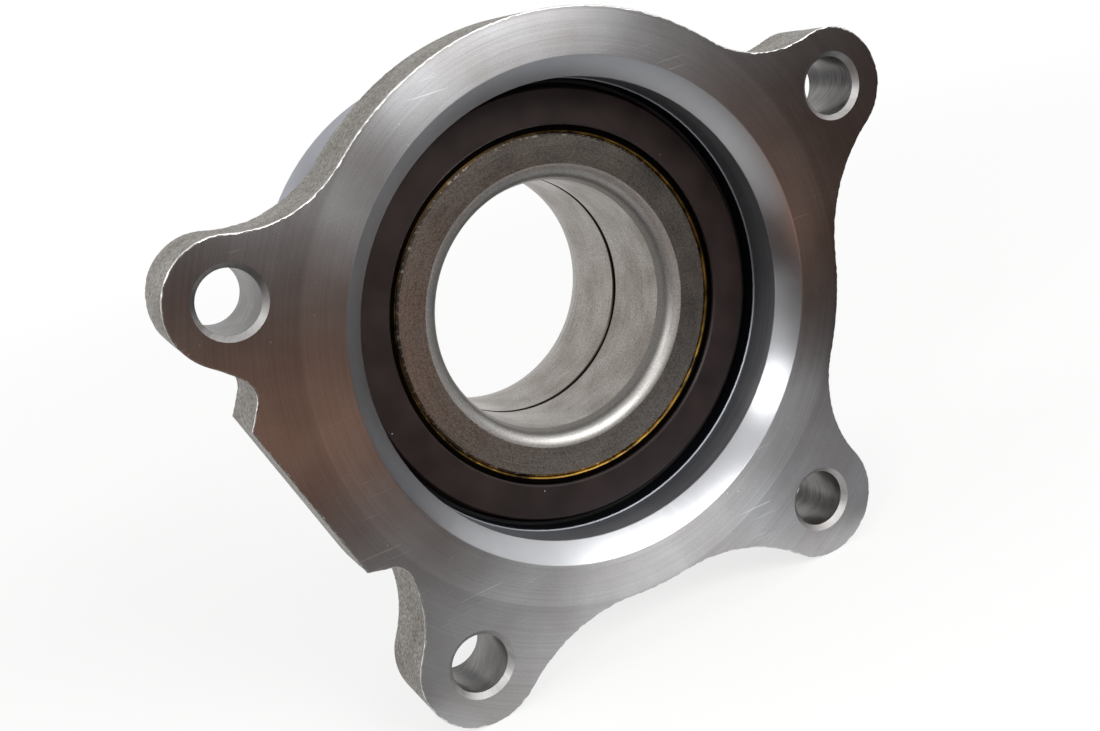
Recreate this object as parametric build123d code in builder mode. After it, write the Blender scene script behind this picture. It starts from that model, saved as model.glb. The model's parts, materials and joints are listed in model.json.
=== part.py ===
from build123d import *
from math import acos, cos, degrees, radians, sin, sqrt, tan
import os

# Wheel hub bearing: a forged outer ring with four bolt ears, two inner rings and two rows of tapered
# rollers in window cages, closed by a cassette seal on each side.
# Millimetres. The bearing's axis is Y. The origin is on the axis, at the joint of the two inner rings.
# The machined front face looks towards -Y, and +Z points between the two upper ears.

os.makedirs("parts", exist_ok=True)

# Inner rings
bore_radius = 30.0
bore_rounding = 3.6
lead_depth = 7.2
lead_rise = 0.8
ring_wall = 5.6
small_land = 4.9
small_rib_height = 1.0
rib_height = 2.0
rib_width = 8.3
edge_break = 0.5
joint_chamfer = 0.8

# Rollers, measured at the middle of their length, and their cages
roller_count = 20
roller_radius = 5.1
roller_length = 14.5
roller_tilt = 15.0
roller_taper = 1.74
roller_chamfer = 0.4
cage_below_pitch = 0.9
cage_above_pitch = 2.1
cage_small_rim = 1.6
cage_large_rim = 2.4

# Clip over the joint of the inner rings
clip_sheet = 0.8
clip_half_width = 2.4
clip_leg = 1.0

# Seals
sheet = 0.8
front_seal_height = 12.25
rear_seal_height = 10.0
seal_start_gap = 1.0
case_window = 3.4
case_recess = 3.9
sleeve_length = 7.0
slinger_bend = 1.0
lip_wall = 0.6
lip_root = 1.1
lip_neck = 0.55
lip_land = 0.3
side_lip_step = 2.2
encoder_height = 8.6
encoder_step = 2.0
encoder_thickness = 1.1
encoder_edge = 0.4
encoder_overhang = 0.25

# Housing, round the axis
pocket_depth = 16.55
pocket_step = 0.55
pocket_corner = 0.25
pocket_wall_depth = 13.9
mouth_chamfer = 4.7
face_land = 10.7
race_margin = 1.0
rear_step = 1.25
rear_wall = 6.4
pilot_length = 26.0
pilot_chamfer = 1.2
pilot_shoulder = 2.0
neck_step = 6.2
neck_length = 6.0
neck_fillet = 3.0

# Flange
flange_thickness = 19.0
draft_angle = 2.0
ear_reach = 14.3
upper_ear_angle = 22.0
upper_ear_radius = 14.0
lower_ear_angle = -54.0
lower_ear_radius = 15.1
tight_flank_radius = 29.0
wide_flank_radius = 41.0
bolt_radius = 7.0
bolt_chamfer = 1.25
spot_radius = 12.0
spot_depth = 0.5
pad_angle = 199.5
pad_reach = 6.5
pad_above = 31.0
pad_below = 10.6
pad_upper_heading = 61.0
pad_lower_heading = -13.0
pad_fillet = 5.0

# Clearances, and how near an edge has to lie to count as in its place
race_gap = 0.03
rib_gap = 0.05
window_gap = 0.15
clip_gap = 0.05
lip_gap = 0.08
sheet_gap = 0.4
same_place = 0.01

# The rollers' frame: along is the distance from a roller's middle towards its large end, and out is the
# distance from its axis, away from the bearing's axis. A place in a half section is (radius, offset),
# with the offset along the bearing's axis from the joint of the inner rings.
half_length = roller_length / 2
tilt_sin = sin(radians(roller_tilt))
tilt_cos = cos(radians(roller_tilt))


def roller_radius_at(along):
    return roller_radius + along * tan(radians(roller_taper))


small_contact = roller_radius_at(-half_length) + race_gap
pitch_radius = bore_radius + ring_wall + half_length * tilt_sin + small_contact * tilt_cos
pitch_offset = small_land + half_length * tilt_cos - small_contact * tilt_sin


def place(along, out):
    radius = pitch_radius + along * tilt_sin + out * tilt_cos
    offset = pitch_offset + along * tilt_cos - out * tilt_sin
    return radius, offset


def inner_race(along, rise=0.0):
    return place(along, -roller_radius_at(along) - race_gap + rise / tilt_cos)


def outer_race(along):
    return place(along, roller_radius_at(along) + race_gap)


def mirrored(side, points):
    # side is -1 for the front half of the bearing and 1 for the rear half
    return [(radius, side * offset) for radius, offset in points]


def polar(radius, angle):
    return radius * cos(radians(angle)), radius * sin(radians(angle))


# Sizes that follow from those above
inner_reach = half_length + rib_gap
small_rib_radius, small_rib_offset = inner_race(-inner_reach, small_rib_height)
shoulder_radius, shoulder_offset = inner_race(inner_reach, rib_height)
ring_width = shoulder_offset + rib_width

cage_start = -half_length - window_gap - cage_small_rim
cage_end = half_length + window_gap + cage_large_rim
seal_start = place(cage_end, -cage_below_pitch)[1] + seal_start_gap

front_seal_radius = shoulder_radius + front_seal_height
rear_seal_radius = shoulder_radius + rear_seal_height
sleeve_radius = shoulder_radius + sheet
flange_back = ring_width - sheet
case_edge_radius = shoulder_radius + case_window

pocket_radius = front_seal_radius + pocket_step
mouth_radius = pocket_radius + mouth_chamfer
rim_radius = mouth_radius + face_land
bolt_circle_radius = rim_radius + ear_reach
pilot_radius = rear_seal_radius + rear_wall

face_offset = ring_width + pocket_depth
wall_end = face_offset - pocket_wall_depth
rear_end = ring_width - rear_step
ear_back = face_offset - flange_thickness

# Each ear's angle, radius and flank radii on its clockwise and counter-clockwise sides, from the front
ears = [
    (upper_ear_angle, upper_ear_radius, wide_flank_radius, tight_flank_radius),
    (180 - upper_ear_angle, upper_ear_radius, tight_flank_radius, wide_flank_radius),
    (180 - lower_ear_angle, lower_ear_radius, tight_flank_radius, wide_flank_radius),
    (lower_ear_angle, lower_ear_radius, wide_flank_radius, tight_flank_radius),
]


# Inner rings: bore with a tapered and rounded entry, small rib with the clip's groove, raceway and large rib
groove_start = clip_half_width - clip_sheet - clip_gap
groove_end = clip_half_width + clip_gap
groove_radius = small_rib_radius - clip_leg - clip_gap

for side, row in ((-1, "front"), (1, "rear")):
    ring_points = [
        (bore_radius, joint_chamfer),
        (bore_radius + joint_chamfer, 0),
        (small_rib_radius, 0),
        (small_rib_radius, groove_start),
        (groove_radius, groove_start),
        (groove_radius, groove_end),
        (small_rib_radius, groove_end),
        (small_rib_radius, small_rib_offset),
        inner_race(-inner_reach),
        inner_race(inner_reach),
        (shoulder_radius, shoulder_offset),
        (shoulder_radius, ring_width - edge_break),
        (shoulder_radius - edge_break, ring_width),
        (bore_radius + lead_rise, ring_width),
        (bore_radius, ring_width - lead_depth),
    ]
    with BuildPart() as inner_ring:
        with BuildSketch() as ring_section:
            with BuildLine():
                Polyline(*mirrored(side, ring_points), close=True)
            make_face()
            entry = ring_section.vertices().sort_by_distance((bore_radius + lead_rise, side * ring_width))[0]
            fillet(entry, bore_rounding)
        revolve(axis=Axis.Y)
    inner_ring.part.label = f"{row}_inner_ring"
    export_step(inner_ring.part, f"parts/{row}_inner_ring.step")


# Clip: a sheet ring over the joint, with a leg in each inner ring's groove
clip_radius = small_rib_radius + clip_gap
clip_foot = small_rib_radius - clip_leg

with BuildPart() as inner_ring_clip:
    with BuildSketch():
        with BuildLine():
            Polyline(
                (clip_foot, -clip_half_width),
                (clip_radius + clip_sheet, -clip_half_width),
                (clip_radius + clip_sheet, clip_half_width),
                (clip_foot, clip_half_width),
                (clip_foot, clip_half_width - clip_sheet),
                (clip_radius, clip_half_width - clip_sheet),
                (clip_radius, clip_sheet - clip_half_width),
                (clip_foot, clip_sheet - clip_half_width),
                close=True,
            )
        make_face()
    revolve(axis=Axis.Y)
inner_ring_clip.part.label = "inner_ring_clip"
export_step(inner_ring_clip.part, "parts/inner_ring_clip.step")


# Rollers and cages: each window is a roller's own shape with its clearance, cut through the cone
roller_step = 360 / roller_count

for side, row in ((-1, "front"), (1, "rear")):
    roller_axis = Axis((pitch_radius, side * pitch_offset, 0), (tilt_sin, side * tilt_cos, 0))
    roller_points = [
        place(-half_length, 0),
        place(-half_length, roller_radius_at(-half_length) - roller_chamfer),
        place(roller_chamfer - half_length, roller_radius_at(roller_chamfer - half_length)),
        place(half_length - roller_chamfer, roller_radius_at(half_length - roller_chamfer)),
        place(half_length, roller_radius_at(half_length) - roller_chamfer),
        place(half_length, 0),
    ]
    with BuildPart() as roller:
        with BuildSketch():
            with BuildLine():
                Polyline(*mirrored(side, roller_points), close=True)
            make_face()
        revolve(axis=roller_axis)
    for number in range(roller_count):
        placed_roller = roller.part.rotate(Axis.Y, number * roller_step)
        placed_roller.label = f"{row}_roller_{number + 1:02d}"
        export_step(placed_roller, f"parts/{placed_roller.label}.step")

    window_reach = half_length + window_gap
    window_points = [
        place(-window_reach, 0),
        place(-window_reach, roller_radius_at(-window_reach) + window_gap),
        place(window_reach, roller_radius_at(window_reach) + window_gap),
        place(window_reach, 0),
    ]
    with BuildPart() as window:
        with BuildSketch():
            with BuildLine():
                Polyline(*mirrored(side, window_points), close=True)
            make_face()
        revolve(axis=roller_axis)
    windows = [window.part.rotate(Axis.Y, number * roller_step) for number in range(roller_count)]

    cage_points = [
        place(cage_start, -cage_below_pitch),
        place(cage_end, -cage_below_pitch),
        place(cage_end, cage_above_pitch),
        place(cage_start, cage_above_pitch),
    ]
    with BuildPart() as cage:
        with BuildSketch():
            with BuildLine():
                Polyline(*mirrored(side, cage_points), close=True)
            make_face()
        revolve(axis=Axis.Y)
        add(windows, mode=Mode.SUBTRACT)
    cage.part.label = f"{row}_cage"
    export_step(cage.part, f"parts/{row}_cage.step")


# Seals: the case and its lips stay with the housing, and the slinger turns with the inner ring
slinger_heights = {
    "front": encoder_step + encoder_height - encoder_overhang,
    "rear": rear_seal_height - sheet - sheet_gap,
}
case_ends = {"front": wall_end - case_recess, "rear": rear_end - sheet_gap}

for side, row, seat_radius in ((-1, "front", front_seal_radius), (1, "rear", rear_seal_radius)):
    case_points = [
        (case_edge_radius, seal_start),
        (seat_radius, seal_start),
        (seat_radius, case_ends[row]),
        (seat_radius - sheet, case_ends[row]),
        (seat_radius - sheet, seal_start + sheet),
        (case_edge_radius, seal_start + sheet),
    ]
    with BuildPart() as seal_case:
        with BuildSketch():
            with BuildLine():
                Polyline(*mirrored(side, case_points), close=True)
            make_face()
        revolve(axis=Axis.Y)
    seal_case.part.label = f"{row}_seal_case"
    export_step(seal_case.part, f"parts/{row}_seal_case.step")

    lip_front = seal_start + sheet + lip_wall
    lip_tip = flange_back - lip_gap
    side_lip_radius = case_edge_radius + side_lip_step
    lip_points = [
        (case_edge_radius, seal_start),
        (case_edge_radius - lip_root, seal_start),
        (sleeve_radius + lip_gap, seal_start + sheet),
        (sleeve_radius + lip_gap, seal_start + sheet + lip_land),
        (case_edge_radius - lip_neck, lip_front),
        (case_edge_radius + lip_root, lip_front),
        (side_lip_radius, lip_tip),
        (side_lip_radius + lip_wall, lip_tip),
        (side_lip_radius, lip_front),
        (side_lip_radius, seal_start + sheet),
        (case_edge_radius, seal_start + sheet),
    ]
    with BuildPart() as seal_lip:
        with BuildSketch():
            with BuildLine():
                Polyline(*mirrored(side, lip_points), close=True)
            make_face()
        revolve(axis=Axis.Y)
    seal_lip.part.label = f"{row}_seal_lip"
    export_step(seal_lip.part, f"parts/{row}_seal_lip.step")

    slinger_edge = shoulder_radius + slinger_heights[row]
    slinger_points = [
        (shoulder_radius, ring_width - sleeve_length),
        (sleeve_radius, ring_width - sleeve_length),
        (sleeve_radius, flange_back),
        (slinger_edge, flange_back),
        (slinger_edge, ring_width),
        (shoulder_radius, ring_width),
    ]
    with BuildPart() as slinger:
        with BuildSketch() as slinger_section:
            with BuildLine():
                Polyline(*mirrored(side, slinger_points), close=True)
            make_face()
            bend = slinger_section.vertices().sort_by_distance((shoulder_radius, side * ring_width))[0]
            fillet(bend, slinger_bend)
        revolve(axis=Axis.Y)
    slinger.part.label = f"{row}_slinger"
    export_step(slinger.part, f"parts/{row}_slinger.step")


# Encoder: magnetic rubber on the face of the front slinger
encoder_inner = shoulder_radius + encoder_step
encoder_outer = encoder_inner + encoder_height
encoder_face = ring_width + encoder_thickness

with BuildPart() as encoder_ring:
    with BuildSketch():
        with BuildLine():
            Polyline(
                (encoder_inner, -ring_width),
                (encoder_outer, -ring_width),
                (encoder_outer, encoder_edge - encoder_face),
                (encoder_outer - encoder_edge, -encoder_face),
                (encoder_inner + encoder_edge, -encoder_face),
                (encoder_inner, encoder_edge - encoder_face),
                close=True,
            )
        make_face()
    revolve(axis=Axis.Y)
encoder_ring.part.label = "encoder_ring"
export_step(encoder_ring.part, "parts/encoder_ring.step")


# Housing: flange outline seen from the front, local x to the right and local y up
def flank(ear_angle, ear_radius, turn, flank_radius):
    # Concave arc that leaves the rim and runs into an ear. turn is -1 on the ear's clockwise side and
    # 1 on the other. Gives the rim's tangent point, the arc's middle, the ear's tangent point and the
    # arc's centre.
    rim_side = rim_radius + flank_radius
    ear_side = ear_radius + flank_radius
    spread = acos(
        (rim_side**2 + bolt_circle_radius**2 - ear_side**2) / (2 * rim_side * bolt_circle_radius)
    )
    centre = Vector(*polar(rim_side, ear_angle + turn * degrees(spread)))
    ear = Vector(*polar(bolt_circle_radius, ear_angle))
    rim_point = centre * (rim_radius / rim_side)
    ear_point = ear + (centre - ear) * (ear_radius / ear_side)
    middle = centre + ((rim_point + ear_point) * 0.5 - centre).normalized() * flank_radius
    return rim_point, middle, ear_point, centre


def leave(start, heading, centre, radius):
    # Where a line that starts inside a circle crosses it
    direction = Vector(*polar(1, heading))
    offset = start - centre
    along = offset.dot(direction)
    return start + direction * (sqrt(along**2 - offset.dot(offset) + radius**2) - along)


# Milled flat between the two left ears, with a forged notch at each end
pad_normal = Vector(*polar(1, pad_angle))
pad_along = Vector(*polar(1, pad_angle + 90))
pad_middle = pad_normal * (rim_radius + pad_reach)
pad_top = pad_middle - pad_along * pad_above
pad_bottom = pad_middle + pad_along * pad_below
upper_centre = flank(180 - upper_ear_angle, upper_ear_radius, 1, wide_flank_radius)[3]
lower_centre = flank(180 - lower_ear_angle, lower_ear_radius, -1, tight_flank_radius)[3]
upper_notch = leave(pad_top, pad_upper_heading, upper_centre, wide_flank_radius)
lower_notch = leave(pad_bottom, pad_lower_heading, lower_centre, tight_flank_radius)

with BuildPart() as housing:
    with BuildSketch(Plane.XZ.offset(face_offset)) as outline:
        Circle(rim_radius)
        for ear_angle, ear_radius, clockwise_radius, counter_radius in ears:
            tip = Vector(*polar(bolt_circle_radius + ear_radius, ear_angle))
            rim_a, middle_a, ear_a, _ = flank(ear_angle, ear_radius, -1, clockwise_radius)
            rim_b, middle_b, ear_b, _ = flank(ear_angle, ear_radius, 1, counter_radius)
            with BuildLine():
                Line((0, 0), rim_a)
                ThreePointArc(rim_a, middle_a, ear_a)
                ThreePointArc(ear_a, tip, ear_b)
                ThreePointArc(ear_b, middle_b, rim_b)
                Line(rim_b, (0, 0))
            make_face()
        with BuildLine():
            Polyline((0, 0), upper_notch, pad_top, pad_bottom, lower_notch, close=True)
        make_face()
        for notch in (upper_notch, lower_notch):
            corner = outline.vertices().sort_by_distance(notch)[0]
            fillet(corner, pad_fillet)
    extrude(amount=-flange_thickness, taper=draft_angle)

    # Forged neck and machined pilot behind the flange
    neck_radius = rim_radius - neck_step
    with BuildSketch():
        with BuildLine():
            Polyline(
                (neck_radius, -face_offset + mouth_chamfer),
                (neck_radius, neck_length - ear_back),
                (pilot_radius + pilot_shoulder, rear_end - pilot_length),
                (pilot_radius, rear_end - pilot_length),
                (pilot_radius, rear_end - pilot_chamfer),
                (pilot_radius - pilot_chamfer, rear_end),
                (0, rear_end),
                (0, -face_offset + mouth_chamfer),
                close=True,
            )
        make_face()
    revolve(axis=Axis.Y)
    root = housing.edges().filter_by(GeomType.CIRCLE).filter_by(
        lambda edge: abs(edge.radius - neck_radius) < same_place
        and abs(edge.center().Y + ear_back) < same_place
    )
    fillet(root, neck_fillet)

    # Everything inside: mouth, pocket, step to the front seal's seat, the rear seat and the two raceways
    race_reach = half_length + race_margin
    race_edge = outer_race(race_reach)[0]
    with BuildSketch():
        with BuildLine():
            Polyline(
                (0, -face_offset),
                (mouth_radius, -face_offset),
                (pocket_radius, mouth_chamfer - face_offset),
                (pocket_radius, -wall_end - pocket_corner),
                (pocket_radius - pocket_corner, -wall_end),
                (front_seal_radius, -wall_end),
                (front_seal_radius, -seal_start),
                (race_edge, -seal_start),
                *mirrored(-1, [outer_race(race_reach), outer_race(-race_reach)]),
                outer_race(-race_reach),
                outer_race(race_reach),
                (race_edge, seal_start),
                (rear_seal_radius, seal_start),
                (rear_seal_radius, rear_end),
                (0, rear_end),
                close=True,
            )
        make_face()
    revolve(axis=Axis.Y, mode=Mode.SUBTRACT)

    # Bolt holes from the front face, chamfered, with a spot face behind each ear
    bolt_places = [polar(bolt_circle_radius, ear_angle) for ear_angle, _, _, _ in ears]
    with BuildSketch(Plane.XZ.offset(face_offset)):
        with Locations(*bolt_places):
            Circle(bolt_radius)
    extrude(amount=-flange_thickness, mode=Mode.SUBTRACT)
    with BuildSketch(Plane.XZ.offset(ear_back)):
        with Locations(*bolt_places):
            Circle(spot_radius)
    extrude(amount=spot_depth, mode=Mode.SUBTRACT)
    hole_edges = housing.edges().filter_by(GeomType.CIRCLE).filter_by(
        lambda edge: abs(edge.radius - bolt_radius) < same_place
        and abs(edge.center().Y + face_offset) < same_place
    )
    chamfer(hole_edges, bolt_chamfer)
housing.part.label = "housing"
export_step(housing.part, "parts/housing.step")
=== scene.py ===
import json
import math

import bmesh
import bpy
import numpy as np
from mathutils import Matrix, Vector


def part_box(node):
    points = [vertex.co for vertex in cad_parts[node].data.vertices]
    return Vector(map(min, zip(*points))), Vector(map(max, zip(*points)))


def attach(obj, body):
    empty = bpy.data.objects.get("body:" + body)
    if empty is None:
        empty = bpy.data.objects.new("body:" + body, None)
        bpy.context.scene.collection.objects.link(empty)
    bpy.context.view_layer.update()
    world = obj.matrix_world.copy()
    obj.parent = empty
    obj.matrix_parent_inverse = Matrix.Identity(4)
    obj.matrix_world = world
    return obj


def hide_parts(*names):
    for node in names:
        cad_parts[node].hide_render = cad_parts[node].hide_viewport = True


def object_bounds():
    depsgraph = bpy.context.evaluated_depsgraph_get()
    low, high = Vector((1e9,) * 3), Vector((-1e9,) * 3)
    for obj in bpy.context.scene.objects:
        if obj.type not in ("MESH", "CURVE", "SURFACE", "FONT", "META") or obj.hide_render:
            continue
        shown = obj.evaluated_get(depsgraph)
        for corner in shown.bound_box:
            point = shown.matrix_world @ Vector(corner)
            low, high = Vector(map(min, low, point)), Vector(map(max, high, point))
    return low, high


# Wheel hub bearing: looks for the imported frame. Metres. The bearing's axis is Y, the machined face looks
# towards -Y, and +Z points between the two upper ears.

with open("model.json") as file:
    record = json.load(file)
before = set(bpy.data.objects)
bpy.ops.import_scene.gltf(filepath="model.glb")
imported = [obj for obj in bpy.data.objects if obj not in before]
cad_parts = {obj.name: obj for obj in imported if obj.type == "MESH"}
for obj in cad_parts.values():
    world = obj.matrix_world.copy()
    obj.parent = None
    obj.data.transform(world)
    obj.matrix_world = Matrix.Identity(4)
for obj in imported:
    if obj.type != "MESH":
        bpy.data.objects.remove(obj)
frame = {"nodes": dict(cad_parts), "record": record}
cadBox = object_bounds()
nodes = frame["nodes"]
mounts = {mount["name"]: mount for mount in frame["record"]["mounts"]}
scene = bpy.context.scene
mm = 0.001

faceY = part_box("housing")[0].y
boltCentres = np.array([
    (side * mounts[name]["dims"]["spacing_x_mm"] / 2 * mm, mounts[name]["pos_m"][2])
    for name in ("upper_bolts", "lower_bolts") for side in (-1, 1)
])
boltRadius = mounts["upper_bolts"]["dims"]["hole_r_mm"] * mm
pocketRadius = mounts["front_socket"]["dims"]["r_mm"] * mm
boreRadius = mounts["axle_bore"]["dims"]["r_mm"] * mm
pilotRadius = mounts["rear_pilot"]["dims"]["r_mm"] * mm
print("frame loaded:", len(nodes), "nodes")


# Camera, at the photograph's place: the bearing's front seen from its upper left, rolled clockwise
camera = {
    "place": (-0.1418, -0.3441, 0.0920),
    "aim": (-0.01317, -0.0434, -0.00711),
    "roll": -15.34,
    "lens": 49.57,
    "sensor": 36.0,
}
cameraData = bpy.data.cameras.new("photoCamera")
cameraData.lens = camera["lens"]
cameraData.sensor_width = camera["sensor"]
cameraObject = bpy.data.objects.new("photoCamera", cameraData)
scene.collection.objects.link(cameraObject)
cameraObject.location = camera["place"]
sight = Vector(camera["aim"]) - Vector(camera["place"])
turn = sight.to_track_quat("-Z", "Y").to_matrix().to_4x4()
turn = turn @ Matrix.Rotation(math.radians(camera["roll"]), 4, "Z")
cameraObject.rotation_euler = turn.to_euler()
scene.camera = cameraObject


def linear(hexColour):
    # sRGB hex to linear red, green, blue and alpha
    parts = np.array([int(hexColour[i:i + 2], 16) for i in (1, 3, 5)]) / 255
    curve = np.where(parts <= 0.04045, parts / 12.92, ((parts + 0.055) / 1.055) ** 2.4)
    return (*curve.tolist(), 1.0)


def wire(tree, node, links):
    # Gives each input, by its name or number, a link from a socket or else a plain value
    for key, value in links.items():
        if isinstance(value, bpy.types.NodeSocket):
            tree.links.new(value, node.inputs[key])
        else:
            node.inputs[key].default_value = value


def addNode(tree, kind, links=None, **settings):
    # One shader node: settings are its own properties, links go to its inputs. Map Range takes its value,
    # from and to as 0 to 4, and Mix takes two numbers as 2 and 3 or two colours as 6 and 7
    node = tree.nodes.new(kind)
    for key, value in settings.items():
        setattr(node, key, value)
    wire(tree, node, links or {})
    return node


def newMaterial(name):
    material = bpy.data.materials.new(name)
    material.use_nodes = True
    tree = material.node_tree
    shader = tree.nodes["Principled BSDF"]
    return material, tree, shader


def polarCoordinates(tree):
    # Place, its distance from the bearing's axis in metres, and a point that runs round it without a seam
    place = addNode(tree, "ShaderNodeTexCoord").outputs["Object"]
    flat = addNode(tree, "ShaderNodeVectorMath", {0: place, 1: (1, 0, 1)}, operation="MULTIPLY").outputs[0]
    radius = addNode(tree, "ShaderNodeVectorMath", {0: flat}, operation="LENGTH").outputs["Value"]
    heading = addNode(tree, "ShaderNodeVectorMath", {0: flat}, operation="NORMALIZE").outputs[0]
    return place, radius, heading


def turnedLines(tree, radius, place, heading, pitch, runs):
    # Noise drawn out round the axis: one line per pitch across, broken "runs" times per turn
    parts = addNode(tree, "ShaderNodeSeparateXYZ", {0: heading})
    depth = addNode(tree, "ShaderNodeSeparateXYZ", {0: place}).outputs["Y"]
    across = addNode(tree, "ShaderNodeMath", {0: radius, 1: depth}, operation="ADD").outputs[0]
    lines = addNode(tree, "ShaderNodeMath", {0: across, 1: 1 / pitch}, operation="MULTIPLY").outputs[0]
    alongX, alongZ = (
        addNode(tree, "ShaderNodeMath", {0: parts.outputs[axis], 1: runs}, operation="MULTIPLY").outputs[0]
        for axis in ("X", "Z")
    )
    vector = addNode(tree, "ShaderNodeCombineXYZ", {"X": alongX, "Y": lines, "Z": alongZ}).outputs[0]
    return addNode(tree, "ShaderNodeTexNoise", {"Vector": vector, "Scale": 1.0, "Detail": 3.0}).outputs["Fac"]


def ramp(tree, value, darkColour, lightColour, low=0.35, high=0.65):
    # Colour between two hex colours as value goes from low to high, by default over the middle of a noise
    share = addNode(tree, "ShaderNodeMapRange", {0: value, 1: low, 2: high}).outputs["Result"]
    colours = {6: linear(darkColour), 7: linear(lightColour)}
    return addNode(tree, "ShaderNodeMix", {"Factor": share, **colours}, data_type="RGBA").outputs[2]


noiseLow, noiseHigh = 0.3, 0.7  # where most of a noise lies, for roughness
quarterTurn = 0.25


def latheGloss(tree, shader, look, colour, relief, swing):
    # Bare metal whose highlight fans out across the tool's rings. The relief tilts it, and its roughness
    # swings with the relief
    rough = addNode(tree, "ShaderNodeMapRange", {
        0: relief, 1: noiseLow, 2: noiseHigh, 3: look["rough"] - swing, 4: look["rough"] + swing,
    })
    bump = addNode(tree, "ShaderNodeBump", {"Height": relief, "Distance": look["bump"] * mm, "Strength": 1.0})
    tangent = addNode(tree, "ShaderNodeTangent", direction_type="RADIAL", axis="Y")
    wire(tree, shader, {
        "Base Color": colour, "Metallic": 1.0, "Roughness": rough.outputs[0], "Normal": bump.outputs[0],
        "Tangent": tangent.outputs[0], "Anisotropic": look["anisotropy"], "Anisotropic Rotation": quarterTurn,
    })


# Turned steel: fine rings from the lathe tool, light fans across them, thin stains of oil
def turnedSteel(name, look):
    material, tree, shader = newMaterial(name)
    place, radius, heading = polarCoordinates(tree)
    lines = turnedLines(tree, radius, place, heading, look["pitch"] * mm, look["runs"])
    stains = addNode(
        tree, "ShaderNodeTexNoise", {"Vector": place, "Scale": 1 / (look["stain"] * mm), "Detail": 4.0}
    ).outputs["Fac"]
    tone = ramp(tree, stains, look["dark"], look["light"])
    fine = ramp(tree, lines, look["lineDark"], "#ffffff")
    colour = addNode(
        tree, "ShaderNodeMix", {"Factor": 1.0, 6: tone, 7: fine}, data_type="RGBA", blend_type="MULTIPLY"
    ).outputs[2]
    latheGloss(tree, shader, look, colour, lines, swing=0.06)
    return material


# What years on a shelf leave on a bare surface: white dust specks, one in a few cells, in loose clusters.
# "core" is the share of a speck that is fully white, "most" the share of white in a cluster's middle.
dust = {"core": 0.6, "pickFade": 0.02, "cluster": (0.48, 0.56), "most": 0.8, "colour": "#e9ebea"}


def dustOver(tree, place, colour, look):
    cells = addNode(tree, "ShaderNodeTexVoronoi", {"Vector": place, "Scale": 1 / (look["dustCell"] * mm)})
    pick = addNode(tree, "ShaderNodeSeparateColor", {0: cells.outputs["Color"]}).outputs[0]
    crowd = addNode(
        tree, "ShaderNodeTexNoise", {"Vector": place, "Scale": 1 / (look["dustCluster"] * mm), "Detail": 1.0}
    ).outputs["Fac"]
    size, chosen = look["dustSize"], look["dustPick"]
    shares = [
        addNode(tree, "ShaderNodeMapRange", {0: value, 1: low, 2: high, 3: start, 4: end}).outputs[0]
        for value, low, high, start, end in (
            (cells.outputs["Distance"], size * dust["core"], size, 1.0, 0.0),
            (pick, chosen, chosen + dust["pickFade"], 0.0, 1.0),
            (crowd, *dust["cluster"], 0.0, dust["most"]),
        )
    ]
    share = addNode(tree, "ShaderNodeMath", {0: shares[0], 1: shares[1]}, operation="MULTIPLY").outputs[0]
    share = addNode(tree, "ShaderNodeMath", {0: share, 1: shares[2]}, operation="MULTIPLY").outputs[0]
    return addNode(
        tree, "ShaderNodeMix", {"Factor": share, 6: colour, 7: linear(dust["colour"])}, data_type="RGBA"
    ).outputs[2]


def scratches(tree, place, direction, width, length, start, fade):
    # Noise drawn out along one direction on the face: only its highest crests count, as hairlines
    turned = addNode(tree, "ShaderNodeMapping", {
        "Vector": place, "Rotation": (0, math.radians(direction), 0),
        "Scale": (1 / (length * mm), 0, 1 / (width * mm)),
    }).outputs[0]
    crest = addNode(tree, "ShaderNodeTexNoise", {"Vector": turned, "Scale": 1.0, "Detail": 0.0}).outputs[0]
    return addNode(tree, "ShaderNodeMapRange", {0: crest, 1: start, 2: start + fade}).outputs[0]


# Faced steel of the flange: fine tool rings over a fine grain, a paler disc where the last pass ended at the
# rim, brown films of oil, hairline scratches and dust
def facedSteel(name, look):
    material, tree, shader = newMaterial(name)
    place, radius, heading = polarCoordinates(tree)
    lines = turnedLines(tree, radius, place, heading, look["pitch"] * mm, look["runs"])
    grit, stains = (
        addNode(
            tree, "ShaderNodeTexNoise", {"Vector": place, "Scale": 1 / (look[size] * mm), "Detail": detail}
        ).outputs["Fac"]
        for size, detail in (("grit", 3.0), ("stain", 5.0))
    )
    grain = addNode(
        tree, "ShaderNodeMix", {"Factor": look["gritShare"], 2: lines, 3: grit}, data_type="FLOAT"
    ).outputs[0]
    colour = ramp(tree, stains, look["dark"], look["light"])
    passStart, passEnd = (look["passEnd"] - look["passFade"]) * mm, (look["passEnd"] + look["passFade"]) * mm
    for layer in (
        ramp(tree, grain, look["grainDark"], "#ffffff"),
        ramp(tree, radius, "#ffffff", look["earTone"], passStart, passEnd),
    ):
        colour = addNode(
            tree, "ShaderNodeMix", {"Factor": 1.0, 6: colour, 7: layer},
            data_type="RGBA", blend_type="MULTIPLY",
        ).outputs[2]
    scratchLow, scratchHigh = look["scratchPatches"]
    patches = addNode(
        tree, "ShaderNodeMapRange", {0: stains, 1: scratchLow, 2: scratchHigh, 4: look["scratchShare"]}
    ).outputs[0]
    for direction, width, length, start in look["scratches"]:
        crest = scratches(tree, place, direction, width, length, start, look["scratchFade"])
        share = addNode(tree, "ShaderNodeMath", {0: crest, 1: patches}, operation="MULTIPLY").outputs[0]
        colour = addNode(
            tree, "ShaderNodeMix", {"Factor": share, 6: colour, 7: linear(look["scratchColour"])},
            data_type="RGBA",
        ).outputs[2]
    latheGloss(tree, shader, look, dustOver(tree, place, colour, look), grain, swing=0.02)
    return material


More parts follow.
